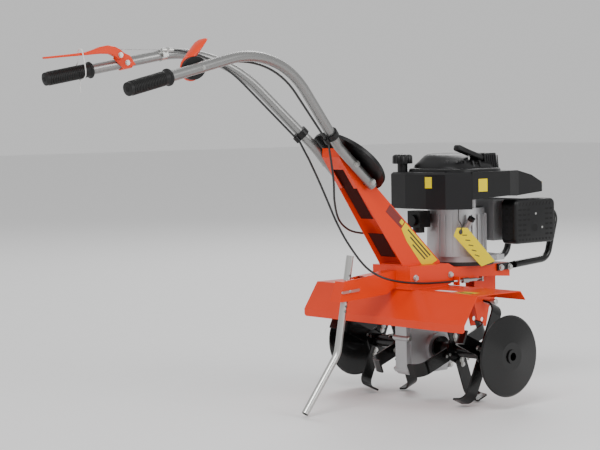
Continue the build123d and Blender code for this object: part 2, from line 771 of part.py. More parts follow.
def bolt_spots(phase):
    """Forward and upward offsets of the eight blade bolts from the axle line."""
    return [(-reach * sin(radians(phase + 90 * number)), reach * cos(radians(phase + 90 * number)))
            for number in range(4) for reach in (27.5, 39.0)]


def star(middle, phase, start):
    """Four L-shaped blades on a square flange, bent to alternate sides."""
    with BuildPart() as blades:
        with BuildSketch(side_plane(middle - 3, 0, axle_height)):
            Rectangle(64, 64, rotation=phase + 45)
            Circle(hub_outer, mode=Mode.SUBTRACT)
        extrude(amount=6)
        for number in range(4):
            bend = start if number % 2 == 0 else -start
            root = middle + bend * 5.5
            with BuildLine() as spine:
                FilletPolyline((root, 0, 22), (root, 0, 124), (root + bend * 40, 0, 129), radius=[26])
            with BuildPart(mode=Mode.PRIVATE) as blade:
                with BuildSketch(Plane(origin=spine.line @ 0, x_dir=(0, 1, 0), z_dir=(0, 0, 1))):
                    Rectangle(blade_width, blade_thick)
                sweep(path=spine.line)
            turned = blade.part.rotate(Axis.X, phase + 90 * number).moved(Location((0, 0, axle_height)))
            add(turned)
        with BuildSketch(side_plane(middle - 20, 0, axle_height)):
            with Locations(*bolt_spots(phase)):
                Circle(4.02)
        extrude(amount=40, mode=Mode.SUBTRACT)
    return blades.part


def ring(low, high, outer, inner=0):
    """Sleeve round the axle line between two X values."""
    with BuildPart() as sleeve:
        with BuildSketch(side_plane(low, 0, axle_height)):
            Circle(outer)
            if inner:
                Circle(inner, mode=Mode.SUBTRACT)
        extrude(amount=high - low)
    return sleeve.part


hub_gap = 39.0
joint_x = 142.0
with BuildPart() as inner_tines:
    add(ring(hub_gap, joint_x - 0.5, hub_outer, shaft_radius))
    add(ring(hub_gap, hub_gap + 5, 30, shaft_radius))
    add(star(96, 20, 1))
    add(pin_holes(), mode=Mode.SUBTRACT)
with BuildPart() as outer_tines:
    # solid hub with a spigot inside the inner hub and an open bore at its outer end
    add(ring(joint_x, 225, hub_outer))
    add(ring(axle_end + 0.5, joint_x + 2, shaft_radius - 0.02))
    add(ring(225, 273, hub_outer, 10))
    add(star(196, 65, 1))
    add(pin_holes(), mode=Mode.SUBTRACT)
with BuildPart() as side_disc:
    with BuildSketch(Plane.XY.offset(axle_height)):
        with BuildLine():
            Polyline((side_disc_x - 2.5, hub_outer + 0.2), (side_disc_x, hub_outer + 0.2), (side_disc_x, 34),
                     (side_disc_x - 8, 96), (side_disc_x - 11, side_disc_radius),
                     (side_disc_x - 13, side_disc_radius - 1), (side_disc_x - 10.6, 95),
                     (side_disc_x - 2.5, 34), close=True)
        make_face()
    revolve(axis=Axis((0, 0, axle_height), (1, 0, 0)))
    add(ring(273, side_disc_x + 4, hub_outer + 0.2, 10))
for side in ("right", "left"):
    for piece, name in ((inner_tines, "inner_tines"), (outer_tines, "outer_tines"), (side_disc, "side_disc")):
        with BuildPart() as placed:
            add(piece.part if side == "right" else piece.part.mirror(Plane.YZ))
        save(placed, f"{side}_{name}")
with BuildPart() as tine_bolts:
    for side in (1, -1):
        for middle, phase in ((96, 20), (196, 65)):
            for number, (y, z) in enumerate(bolt_spots(phase)):
                bend = 1 if number // 2 % 2 == 0 else -1
                seat = side * (middle + bend * 8)
                add(round_bolt((seat, y, axle_height + z), (side * bend, 0, 0), 4, 11.2, 5.5, 4))
        for place in pin_places:
            with BuildSketch(Plane.XY.offset(axle_height - 22)):
                with Locations((side * place, 0)):
                    Circle(3)
            extrude(amount=44)
save(tine_bolts, "tine_bolts")

# ---- engine -------------------------------------------------------------------------------------
with BuildPart() as engine_base:
    with BuildSketch(Plane.XY.offset(deck_top)):
        with Locations((0, engine_y)):
            Circle(82)
            Circle(36, mode=Mode.SUBTRACT)
    extrude(amount=10)
save(engine_base, "engine_base")
flange_low, crankcase_top = deck_top + 10, 480.0
crankcase_middle = (-3, 104)
dip_run = Vector(0.55, 0.1, 0.83).normalized()
dip_foot = Vector(62, 62, 415)
with BuildPart() as crankcase:
    with BuildSketch(Plane.XY.offset(flange_low)):
        with Locations((0, engine_y + 6)):
            Circle(87)
        with Locations((58, 186), (-58, 186)):
            RectangleRounded(38, 34, 8)
    extrude(amount=14)
    with BuildSketch(Plane.XY.offset(flange_low + 14)):
        with Locations(crankcase_middle):
            Circle(76)
    extrude(amount=crankcase_top - flange_low - 14, taper=1.5)
    with BuildSketch(Plane.XY.offset(flange_low)):
        with Locations((0, engine_y)):
            Circle(shaft_radius + fit_gap)
    extrude(amount=40, mode=Mode.SUBTRACT)
    with BuildSketch(Plane.XY.offset(flange_low + 14)):
        with Locations((0, engine_y)):
            Circle(28)
    extrude(amount=50, mode=Mode.SUBTRACT)
    # two posts under the blower shroud
    with BuildSketch(Plane.XY.offset(crankcase_top - 20)):
        with Locations((-60, 104), (58, 104)):
            Circle(8)
    extrude(amount=110)
    # oil filler tube
    with BuildSketch(Plane(origin=dip_foot - dip_run * 20, z_dir=dip_run)):
        Circle(8.5)
    extrude(amount=61.6)
    with BuildSketch(Plane(origin=dip_foot + dip_run * 15, z_dir=dip_run)):
        Circle(5.3)
    extrude(amount=40, mode=Mode.SUBTRACT)
save(crankcase, "crankcase")
with BuildPart() as crankshaft:
    add(pulley(0, engine_y, drive_radius, 17))
    with BuildSketch(Plane.XY.offset(belt_low)):
        with Locations((0, engine_y)):
            Circle(shaft_radius)
    extrude(amount=flange_low + 60 - belt_low)
    with BuildSketch(Plane.XY.offset(flange_low + 20)):
        with Locations((0, engine_y)):
            Circle(25)
    extrude(amount=12)
save(crankshaft, "crankshaft")

with BuildPart() as cylinder:
    add(plan_slab([(-55, 175), (62, 175), (62, 215), (-55, 215)], 392, 498))
    for fin in range(7):
        y = 218 + 11 * fin
        add(plan_slab([(-58, y), (82, y), (82, y + 4), (-58, y + 4)], 396, 496))
    add(plan_slab([(-40, 214), (62, 214), (62, 300), (-40, 300)], 406, 490))
    add(crankcase.part, mode=Mode.SUBTRACT)
save(cylinder, "cylinder")

with BuildPart() as carburettor:
    add(plan_slab([(-62, -12), (-18, -12), (-18, 26), (-62, 26)], 432, 474))
    with BuildSketch(level_plane(-40, -12, 450)):
        Circle(14)
    extrude(amount=8)
    with BuildSketch(Plane.XY.offset(418)):
        with Locations((-40, 6)):
            Circle(15)
    extrude(amount=16)
    add(plan_slab([(-50, 20), (-30, 20), (-30, 60), (-50, 60)], 440, 466))
    add(crankcase.part, mode=Mode.SUBTRACT)
save(carburettor, "carburettor")

tank_low, tank_high = 481.0, 573.0
seam_y = 27.0
tank_plan = [(-102, -30), (-42, -38), (28, -34), (85, -22), (130, seam_y), (-118, seam_y)]
cap_x, cap_y = -84.0, -6.0
with BuildPart() as fuel_tank:
    add(plan_slab(tank_plan, tank_low, tank_high))
    chamfer(fuel_tank.faces().sort_by(Axis.Z)[-1].edges().sort_by(Axis.Y)[:-1], 5)
    with BuildSketch(Plane.XY.offset(tank_high - 4)):
        with Locations((cap_x, cap_y)):
            Circle(13)
    extrude(amount=32)
save(fuel_tank, "fuel_tank")
with BuildPart() as fuel_cap:
    with BuildSketch(Plane.XY.offset(594)):
        with Locations((cap_x, cap_y)):
            Circle(26)
    extrude(amount=26, taper=2)
    fillet(fuel_cap.edges().group_by(Axis.Z)[-1], 5)
    with BuildSketch(Plane.XY.offset(594)):
        with Locations((cap_x, cap_y)):
            Circle(13.4)
    extrude(amount=8, mode=Mode.SUBTRACT)
save(fuel_cap, "fuel_cap")

shroud_side = [(seam_y + 0.5, 505), (155, 510), (199, 508), (321, 516), (318, 534), (262, 560), (205, 573),
               (seam_y + 0.5, 573)]
shroud_hollow = [(seam_y - 4, 480), (155, 480), (199, 480), (318, 480), (315, 532), (261, 557), (204, 570),
                 (seam_y - 4, 570)]
shroud_plan = [(-118, seam_y), (130, seam_y), (130, 165), (118, 210), (112, 305), (96, 325), (-50, 325),
               (-66, 300), (-96, 205), (-118, 150)]
with BuildPart() as shroud:
    add(side_slab(shroud_side, -140, 140))
    add(plan_slab(shroud_plan, 480, 600), mode=Mode.INTERSECT)
    with BuildPart(mode=Mode.PRIVATE) as shroud_inside:
        add(side_slab(shroud_hollow, -140, 140))
        add(plan_slab([(-115, 10), (127, 10), (127, 164), (115, 209), (109, 304), (95, 322), (-49, 322),
                       (-63, 299), (-93, 204), (-115, 149)], 470, 600), mode=Mode.INTERSECT)
    add(shroud_inside.part, mode=Mode.SUBTRACT)
save(shroud, "shroud")

grip_middle = Vector(69, 79, 620)


def dome(inset, low):
    """Rounded cover of the recoil starter, its walls moved in by the inset."""
    with BuildPart() as cover:
        for z, x, y, wide, deep, corner in ((low, 10, 88, 204, 200, 62), (599 - inset, 0, 90, 144, 164, 56),
                                            (619 - inset, -6, 90, 96, 124, 44)):
            with BuildSketch(Plane.XY.offset(z)):
                with Locations((x, y)):
                    RectangleRounded(wide - 2 * inset, deep - 2 * inset, corner - inset)
        loft(ruled=True)
    return cover.part


with BuildPart() as starter_cover:
    add(dome(0, tank_high))
    add(plan_slab([(34, 128), (84, 128), (84, 170), (34, 170)], tank_high, 619))
    add(dome(3, tank_high - 1), mode=Mode.SUBTRACT)
    add(plan_slab([(37, 131), (81, 131), (81, 167), (37, 167)], tank_high - 1, 616), mode=Mode.SUBTRACT)
    add(plan_slab([(54, 26), (84, 26), (84, 126.5), (54, 126.5)], 598, 640), mode=Mode.SUBTRACT)
    add(plan_slab([(48, 24), (84, 24), (84, 128), (48, 128)], 595, 598))
    with BuildSketch(Plane.XY.offset(540)):
        with Locations((grip_middle.X, grip_middle.Y)):
            Circle(3)
    extrude(amount=100, mode=Mode.SUBTRACT)
    for slot in range(5):
        near = 134 + 7 * slot
        add(plan_slab([(80, near), (90, near), (90, near + 3), (80, near + 3)], 582, 612), mode=Mode.SUBTRACT)
save(starter_cover, "starter_cover")
with BuildPart() as recoil_grip:
    with BuildSketch(Plane(origin=grip_middle + Vector(0, -45, 15), x_dir=(1, 0, 0),
                           z_dir=(0, 0.949, -0.316))):
        RectangleRounded(20, 13, 4)
    extrude(amount=95)
    with BuildSketch(Plane.XY.offset(585)):
        with Locations((grip_middle.X, grip_middle.Y)):
            Circle(2.9)
    extrude(amount=35)
save(recoil_grip, "recoil_grip")

with BuildPart() as muffler_guard:
    add(plan_slab([(88, 183), (131, 183), (131, 335), (88, 335)], 384, 498))
    fillet(muffler_guard.edges().group_by(Axis.X)[-1], 6)
    add(plan_slab([(80, 185.5), (128.5, 185.5), (128.5, 332.5), (80, 332.5)], 386.5, 495.5),
        mode=Mode.SUBTRACT)
    for row in range(5):
        z = 410 + 14 * row
        for y in (196, 220, 284, 308):
            add(side_slab([(y, z), (y + 12, z), (y + 12, z + 5), (y, z + 5)], 120, 140), mode=Mode.SUBTRACT)
    with BuildSketch(side_plane(120, 256, 424)):
        Circle(11)
    extrude(amount=20, mode=Mode.SUBTRACT)
save(muffler_guard, "muffler_guard")
with BuildPart() as muffler:
    add(plan_slab([(84, 196), (122, 196), (122, 322), (84, 322)], 396, 486))
    fillet(muffler.edges().filter_by(Axis.X), 16)
    with BuildSketch(side_plane(82, 252, 450)):
        Circle(15)
    extrude(amount=4)
    for y, z in ((260, 460), (284, 424)):
        with BuildSketch(side_plane(120, y, z)):
            Circle(6)
        extrude(amount=8.5)
    with BuildSketch(side_plane(120, 256, 424)):
        Circle(8)
        Circle(6, mode=Mode.SUBTRACT)
    extrude(amount=9)
save(muffler, "muffler")

with BuildPart() as dipstick:
    with BuildSketch(Plane(origin=dip_foot + dip_run * 20, z_dir=dip_run)):
        Circle(5)
    extrude(amount=22)
    with BuildSketch(Plane(origin=dip_foot + dip_run * 42, z_dir=dip_run)):
        Circle(9)
    extrude(amount=9)
save(dipstick, "dipstick")

# ---- bumper, hang tag ---------------------------------------------------------------------------
bumper_x, bumper_radius = deck_half_width + 9.4, 9.0
with BuildLine() as bumper_line:
    FilletPolyline((bumper_x, 240, 327), (bumper_x, 366, 336), (bumper_x, 404, 462), (-bumper_x, 404, 462),
                   (-bumper_x, 366, 336), (-bumper_x, 240, 327), radius=[34, 34, 34, 34])
with BuildPart() as bumper:
    add(tube_along(bumper_line.line, bumper_radius, bumper_radius - 1.6))
    for side in (1, -1):
        inner = side * (deck_half_width + 0.2)
        add(side_slab([(182, 314), (236, 316), (250, 319), (250, 336), (236, 334), (182, 332)],
                      min(inner, inner + side * 5.4), max(inner, inner + side * 5.4)))
    for y, z in ((193, 322), (225, 322)):
        with BuildSketch(side_plane(-90, y, z)):
            Circle(4.1)
        extrude(amount=180, mode=Mode.SUBTRACT)
save(bumper, "bumper")

with BuildPart() as idler:
    with BuildSketch(Plane.XY.offset(294)):
        with Locations(idler_pivot):
            Circle(7)
        with Locations((49.7, 40)):
            Circle(7)
        Polygon((43, 100), (55, 100), (55, 40), (43, 40), align=None)
        Polygon((49, 94), (86, 106), (86, 112), (49, 107), align=None)
        with Locations(idler_pivot):
            Circle(4 + fit_gap, mode=Mode.SUBTRACT)
    extrude(amount=3)
    add(plan_slab([(75, 106.5), (86, 106.5), (86, 110), (75, 110)], 296.8, 306))
    with BuildSketch(Plane.XY.offset(297)):
        with Locations((49.7, 40)):
            Circle(10)
    extrude(amount=22)
save(idler, "idler")

knot = Vector(104.4, 12, 424)
with BuildPart() as hang_tag:
    add(side_slab([(-10, 424), (-2, 436), (34, 434), (134, 344), (84, 334), (-14, 416)], 104, 104.8))
    # knotted string up to the underside of the fuel tank
    with BuildSketch(side_plane(knot.X - 2, knot.Y, knot.Z)):
        Circle(3.7)
    extrude(amount=4)
    add(plan_slab([(103.3, 11), (105.5, 11), (105.5, 13), (103.3, 13)], knot.Z, tank_low))
save(hang_tag, "hang_tag")
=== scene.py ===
"""Looks of the petrol tiller: materials, finer visible pieces, floor, light and camera.

Metres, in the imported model's frame: +X the machine's right, +Y forward, +Z up, origin on the
ground under the tine axle.
"""
import json
from math import cos, pi, radians, sin

import bpy
from mathutils import Matrix, Vector


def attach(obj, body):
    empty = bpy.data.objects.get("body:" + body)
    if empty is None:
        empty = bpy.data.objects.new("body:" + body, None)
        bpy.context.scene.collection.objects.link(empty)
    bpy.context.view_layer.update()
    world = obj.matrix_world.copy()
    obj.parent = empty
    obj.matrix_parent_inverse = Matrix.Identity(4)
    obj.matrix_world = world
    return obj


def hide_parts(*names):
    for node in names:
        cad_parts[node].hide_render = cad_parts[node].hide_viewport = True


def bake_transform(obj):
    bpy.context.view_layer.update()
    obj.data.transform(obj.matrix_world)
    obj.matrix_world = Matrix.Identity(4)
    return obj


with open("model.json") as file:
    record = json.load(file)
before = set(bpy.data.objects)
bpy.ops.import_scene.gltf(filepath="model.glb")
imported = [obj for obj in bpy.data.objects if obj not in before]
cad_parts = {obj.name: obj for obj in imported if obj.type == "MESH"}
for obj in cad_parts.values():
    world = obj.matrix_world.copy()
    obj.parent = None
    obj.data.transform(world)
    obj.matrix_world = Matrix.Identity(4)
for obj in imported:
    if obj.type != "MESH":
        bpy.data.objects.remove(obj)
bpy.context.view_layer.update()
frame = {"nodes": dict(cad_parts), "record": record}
scene = bpy.context.scene
MM = 0.001
SIDES = ((1, "right"), (-1, "left"))

# ---- materials -----------------------------------------------------------------------------------


def material(name, color, rough, metal=0.0, coat=0.0, grain=600.0, bump=0.0, vary=0.06, tint=0.12,
             shine=0.5):
    """Principled finish whose colour, roughness and surface wander slightly over the object."""
    m = bpy.data.materials.new(name)
    m.use_nodes = True
    nodes, links = m.node_tree.nodes, m.node_tree.links
    shader = nodes["Principled BSDF"]
    place = nodes.new("ShaderNodeTexCoord")
    broad = nodes.new("ShaderNodeTexNoise")
    broad.inputs["Scale"].default_value = 14.0
    broad.inputs["Detail"].default_value = 4.0
    links.new(place.outputs["Object"], broad.inputs["Vector"])
    mix = nodes.new("ShaderNodeMix")
    mix.data_type = "RGBA"
    mix.inputs["A"].default_value = (*color, 1)
    mix.inputs["B"].default_value = (*[c * (1 - tint) for c in color], 1)
    links.new(broad.outputs["Fac"], mix.inputs["Factor"])
    links.new(mix.outputs["Result"], shader.inputs["Base Color"])
    spread = nodes.new("ShaderNodeMapRange")
    spread.inputs["To Min"].default_value = max(rough - vary, 0.02)
    spread.inputs["To Max"].default_value = rough + vary
    links.new(broad.outputs["Fac"], spread.inputs["Value"])
    links.new(spread.outputs["Result"], shader.inputs["Roughness"])
    shader.inputs["Metallic"].default_value = metal
    shader.inputs["Specular IOR Level"].default_value = shine
    shader.inputs["Coat Weight"].default_value = coat
    shader.inputs["Coat Roughness"].default_value = 0.08
    if bump:
        fine = nodes.new("ShaderNodeTexNoise")
        fine.inputs["Scale"].default_value = grain
        fine.inputs["Detail"].default_value = 3.0
        links.new(place.outputs["Object"], fine.inputs["Vector"])
        relief = nodes.new("ShaderNodeBump")
        relief.inputs["Strength"].default_value = bump
        relief.inputs["Distance"].default_value = 0.0006
        links.new(fine.outputs["Fac"], relief.inputs["Height"])
        links.new(relief.outputs["Normal"], shader.inputs["Normal"])
    return m


ORANGE = material("orange_paint", (0.80, 0.040, 0.0), 0.34, coat=0.12, grain=260, bump=0.05, tint=0.08,
                  shine=0.3)
BLACK_GLOSS = material("black_gloss", (0.003, 0.003, 0.003), 0.24, coat=0.15, grain=240, bump=0.06,
                       shine=0.35)
FRAME_BLACK = material("frame_black", (0.018, 0.018, 0.019), 0.42, grain=500, bump=0.15)
PLASTIC = material("black_plastic", (0.004, 0.004, 0.0045), 0.36, grain=1500, bump=0.18, shine=0.35)
TANK = material("tank_plastic", (0.007, 0.007, 0.008), 0.42, grain=1900, bump=0.2, shine=0.35)
RUBBER = material("grip_rubber", (0.006, 0.006, 0.006), 0.5, grain=1500, bump=0.2, shine=0.35)
SHEATH = material("cable_sheath", (0.012, 0.012, 0.012), 0.30, grain=900, bump=0.05)
ZINC = material("zinc_plate", (0.62, 0.62, 0.60), 0.30, metal=1.0, grain=800, bump=0.03)
SILVER = material("silver_tube", (0.30, 0.30, 0.295), 0.36, metal=0.8, grain=900, bump=0.02)
CAST = material("cast_aluminium", (0.50, 0.50, 0.51), 0.46, metal=0.85, grain=700, bump=0.45, vary=0.1)
STEEL = material("plain_steel", (0.42, 0.42, 0.42), 0.36, metal=1.0, grain=700, bump=0.2)
BRONZE = material("bronze", (0.55, 0.36, 0.15), 0.35, metal=1.0, grain=700, bump=0.1)
BELT = material("belt_rubber", (0.02, 0.02, 0.02), 0.75, grain=1200, bump=0.4)
CARD = material("tag_card", (0.80, 0.64, 0.0), 0.5, shine=0.2, grain=400, bump=0.05, tint=0.05)
LABEL = material("yellow_label", (0.82, 0.64, 0.0), 0.4, shine=0.25, tint=0.04)
INK = material("label_ink", (0.03, 0.028, 0.026), 0.45)
BAND = material("dark_red_band", (0.20, 0.012, 0.008), 0.32, coat=0.4)
WHITE = material("white_print", (0.82, 0.82, 0.80), 0.40, tint=0.04)
# dark sheets of painted shadow that stand in for the shade inside slots, holes and the grip's open end
PAINTED_SLOT_SHADOW = material("slot_shadow", (0.004, 0.004, 0.004), 0.9)

SLOT_LOOK = {
    "orange": ORANGE, "black_paint": BLACK_GLOSS, "frame_black": FRAME_BLACK, "black_plastic": PLASTIC,
    "tank_plastic": TANK, "rubber": RUBBER, "zinc": ZINC, "tube_silver": SILVER, "cast": CAST,
    "steel": STEEL, "bronze": BRONZE, "cable_black": SHEATH, "belt_rubber": BELT, "tag_card": CARD,
}
# the bracket is painted like the lever that turns on it
NODE_LOOK = {"lever_bracket": ORANGE}
SHARP_NODES = ("hang_tag", "clutch_wire", "drive_belt", "bumper", "depth_bar")
NODE_EDGE = 0.0009
EDGE_ANGLE = radians(35)


def soften(obj, width):
    """Small rounding on every edge sharper than EDGE_ANGLE."""
    soft = obj.modifiers.new("edge", "BEVEL")
    soft.width = width
    soft.segments = 2
    soft.limit_method = "ANGLE"
    soft.angle_limit = EDGE_ANGLE
    return soft


for part in frame["record"]["subparts"]:
    node = frame["nodes"][part["node"]]
    node.data.materials.clear()
    node.data.materials.append(NODE_LOOK.get(part["node"], SLOT_LOOK[part["material_slot"]]))
    if part["node"] not in SHARP_NODES:
        soften(node, NODE_EDGE).use_clamp_overlap = True

# ---- helpers -------------------------------------------------------------------------------------


def piece(name, verts, faces, look, body="frame", smooth=False, edge=0.0):
    """Mesh in the frame's own coordinates that rides on a body, or on none yet."""
    mesh = bpy.data.meshes.new(name)
    mesh.from_pydata([tuple(v) for v in verts], [], faces)
    mesh.validate()
    mesh.update()
    obj = bpy.data.objects.new(name, mesh)
    scene.collection.objects.link(obj)
    mesh.materials.append(look)
    if smooth:
        for face in mesh.polygons:
            face.use_smooth = True
    if edge:
        soften(obj, edge)
    if body:
        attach(obj, body)
    return obj


def loft_faces(count, rings):
    """Faces between successive closed rings of the same count, closed at both ends."""
    faces = []
    for r in range(rings - 1):
        for i in range(count):
            j = (i + 1) % count
            faces.append((r * count + i, r * count + j, (r + 1) * count + j, (r + 1) * count + i))
    faces.append(tuple(range(count))[::-1])
    faces.append(tuple(range((rings - 1) * count, rings * count)))
    return faces


def mm(*points):
    """Points in metres, from points in mm."""
    return [Vector(p) * MM for p in points]


def slab(name, corners, offset, look, body="frame", edge=0.0):
    """Plate: a planar outline given as 3-D corners, thickened by an offset vector."""
    base = [Vector(c) for c in corners]
    shift = Vector(offset)
    return piece(name, base + [c + shift for c in base], loft_faces(len(base), 2), look, body,
                 edge=edge)


def box(name, low, high, look):
    """Axis-aligned block."""
    (ax, ay, az), (bx, by, bz) = low, high
    corners = [(ax, ay, az), (bx, ay, az), (bx, by, az), (ax, by, az)]
    return slab(name, corners, (0, 0, bz - az), look)


def frame_of(direction):
    """Two unit vectors square to a direction."""
    d = Vector(direction).normalized()
    side = d.cross(Vector((0, 0, 1)))
    if side.length < 0.1:
        side = d.cross(Vector((0, 1, 0)))
    side.normalize()
    return side, side.cross(d)


def turned(name, origin, direction, profile, look, body="frame", count=40, waves=0, depth=0.0):
    """Solid of revolution; profile holds (distance along, radius). Waves flute its wall."""
    d = Vector(direction).normalized()
    u, v = frame_of(d)
    verts = []
    for along, radius in profile:
        for i in range(count):
            a = 2 * pi * i / count
            r = radius * (1 - depth * (0.5 + 0.5 * cos(waves * a))) if waves else radius
            verts.append(Vector(origin) + d * along + u * (r * cos(a)) + v * (r * sin(a)))
    obj = piece(name, verts, loft_faces(count, len(profile)), look, body, smooth=True)
    obj.data.set_sharp_from_angle(angle=radians(40))
    return obj


def smooth_path(points, steps=8):
    """Catmull-Rom points through a list."""
    p = [Vector(q) for q in points]
    p = [p[0] * 2 - p[1]] + p + [p[-1] * 2 - p[-2]]
    out = []
    for a, b, c, d in zip(p, p[1:], p[2:], p[3:]):
        for k in range(steps):
            t = k / steps
            out.append(0.5 * ((2 * b) + (c - a) * t + (2 * a - 5 * b + 4 * c - d) * t * t
                              + (3 * b - a - 3 * c + d) * t ** 3))
    out.append(p[-2])
    return out


def wire(name, path, radius, look, body="frame", count=14):
    """Round bar along a list of points."""
    verts = []
    u = None
    for i, here in enumerate(path):
        ahead = (path[min(i + 1, len(path) - 1)] - path[max(i - 1, 0)]).normalized()
        u = frame_of(ahead)[0] if u is None else (u - ahead * u.dot(ahead)).normalized()
        v = ahead.cross(u)
        for k in range(count):
            a = 2 * pi * k / count
            verts.append(here + u * (radius * cos(a)) + v * (radius * sin(a)))
    return piece(name, verts, loft_faces(count, len(path)), look, body, smooth=True)


# ---- column head frame and the two handles' tilts ------------------------------------------------
LEAN = radians(43.0)
HEAD_Y, HEAD_Z = -235, 548
UPPER_BOLT = Vector((0, -294.24, 603.24))
SKEW = radians(1.16)


def head(x, t, n):
    """Point on the column head: across, up along the front edge and out in front, in mm."""
    y = HEAD_Y - cos(LEAN) * t + sin(LEAN) * n
    z = HEAD_Z + sin(LEAN) * t + cos(LEAN) * n
    return Vector((x, y, z)) * MM


def on_handle(point, side):
    """Point of the straight right handle, in mm, on the tilted right (1) or left (-1) handle."""
    p = Vector(point)
    p.x *= side
    turn = Matrix.Rotation(SKEW * side, 3, "X")
    return (UPPER_BOLT + turn @ (p - UPPER_BOLT)) * MM


# corners of the right tube's centre line, in mm, from the grip's end down to the lower bolt
TUBE_END = Vector((164.4, -1021.8, 795.6))
TUBE_CROWN = Vector((121.9, -582.2, 886.1))
TUBE_BEND = Vector((46.6, -340.3, 646.2))
TUBE_FOOT = Vector((46.6, -233.54, 546.64))
TUBE_RADIUS = 0.012
GRIP_RUN = (TUBE_CROWN - TUBE_END).normalized()
GRIP_SIDE = -Vector((0, 0, 1)).cross(GRIP_RUN).normalized()
GRIP_UP = Vector((0.019317, -0.199811, 0.979644))


def grip_point(side, along, aside=0.0, above=0.0):
    """Point near a grip: along from the tube's end, outboard, up."""
    return on_handle(TUBE_END + GRIP_RUN * along + GRIP_SIDE * aside + GRIP_UP * above, side)


# ---- grips ---------------------------------------------------------------------------------------
RIDGE_START, RIDGE_STOP, RIDGE_STEP = 6.0, 98, 4.4
for side, word in SIDES:
    profile = [(-4, 13.2), (-3.2, 14.6), (-1, 15), (6, 15)]
    along = RIDGE_START
    while along < RIDGE_STOP:
        profile += [(along, 15.9), (along + 2.6, 15.9), (along + 2.9, 15.0), (along + 4.1, 15.0)]
        along += RIDGE_STEP
    profile += [(103, 15.2), (107, 16.2), (108.2, 18.4), (109.2, 19), (112.8, 19), (113.8, 18.2), (114, 12.2)]
    start, ahead = grip_point(side, 0), grip_point(side, 100) - grip_point(side, 0)
    grip = turned(f"{word}_ribbed_grip", start, ahead, [(a * MM, r * MM) for a, r in profile], RUBBER,
                  f"{word}_handle")
    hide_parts(f"{word}_grip")
    # dark ring of painted shadow in the grip's open end
    turned(f"{word}_grip_slot", start, ahead, [(-0.0044, 0.0052), (-0.0038, 0.0056)], PAINTED_SLOT_SHADOW,
           f"{word}_handle", count=24)

# ---- cable routes and bent bars ------------------------------------------------------------------
clamp_run = (TUBE_CROWN - TUBE_BEND).normalized()
back_run = (TUBE_END - TUBE_CROWN).normalized()
clamp_side = (back_run - clamp_run * back_run.dot(clamp_run)).normalized() * 20
crown_inside = (back_run - clamp_run).normalized()
CABLE_RADIUS = 0.0027
CABLE_BEND = 272
# routes below the handle clamps, in mm
CLUTCH_ROUTE = [(-50, -350, 612), (-43, -327, 562), (-30, -311, 512), (-9, -301, 460), (18, -288, 408),
                (48, -264, 356), (68, -232, 329), (79, -180, 313), (83, -110, 304), (83, -45, 301),
                (81, 12, 300)]
THROTTLE_ROUTE = [(50, -368, 610), (44, -356, 562), (28, -340, 514), (2, -305, 470), (-28, -250, 442),
                  (-52, -190, 428), (-58, -130, 424), (-54, -75, 428), (-46, -35, 442)]


def arc_between(a, vertex, b, radius, steps=14):
    """Straight run, tangent arc and straight run through a vertex."""
    u, w = (vertex - a).normalized(), (b - vertex).normalized()
    half = u.angle(w) / 2
    reach = radius * (sin(half) / cos(half))
    start = vertex - u * reach
    to_centre = (w - u * u.dot(w)).normalized()
    out = [a]
    for k in range(steps + 1):
        turn = 2 * half * k / steps
        out.append(start + to_centre * (radius * (1 - cos(turn))) + u * (radius * sin(turn)))
    return out + [b]


def bent_bar(points, radii):
    """Points of a bar with a tangent arc at each inner corner."""
    out, a = [points[0]], points[0]
    for vertex, b, radius in zip(points[1:], points[2:], radii):
        run = arc_between(a, vertex, b, radius, steps=20)
        out += run[1:-1]
        a = run[-2]
    return out + [points[-1]]


def seam_smooth(obj):
    """Smooth round wall, sharp end faces."""
    obj.data.set_sharp_from_angle(angle=radians(50))
    return obj


# ---- handle tubes and bumper ---------------------------------------------------------------------
LOW_BEND, CROWN_BEND = 60, 292
tube_points = bent_bar([TUBE_FOOT, TUBE_BEND, TUBE_CROWN, TUBE_END], [LOW_BEND, CROWN_BEND])
for side, word in SIDES:
    bar = seam_smooth(wire(f"{word}_round_tube", [on_handle(p, side) for p in tube_points], TUBE_RADIUS,
                           SILVER, f"{word}_handle", count=36))
    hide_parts(f"{word}_handle_tube")
BUMPER_HALF = 73.4
BUMPER_BEND = 34
BUMPER_RADIUS = 0.009
BUMPER_FOOT_X = 0.0642
bumper_side = ((240, 327), (366, 336), (404, 462))
bumper_spots = [Vector((BUMPER_HALF, y, z)) for y, z in bumper_side]
bumper_spots += [Vector((-BUMPER_HALF, y, z)) for y, z in reversed(bumper_side)]
bumper_points = [p * MM for p in bent_bar(bumper_spots, [BUMPER_BEND] * 4)]
bar = seam_smooth(wire("bumper_bar", bumper_points, BUMPER_RADIUS, BLACK_GLOSS, count=28))
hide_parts("bumper")
foot_outline = ((182, 314), (236, 316), (250, 319), (250, 336), (236, 334), (182, 332))
for side in (1, -1):
    foot = [Vector((side * BUMPER_FOOT_X, y * MM, z * MM)) for y, z in foot_outline]
    slab(f"bumper_foot_{side}", foot, (side * 0.0054, 0, 0), BLACK_GLOSS, edge=0.001)

# ---- cable sheaths, whole across each handle's joint ---------------------------------------------

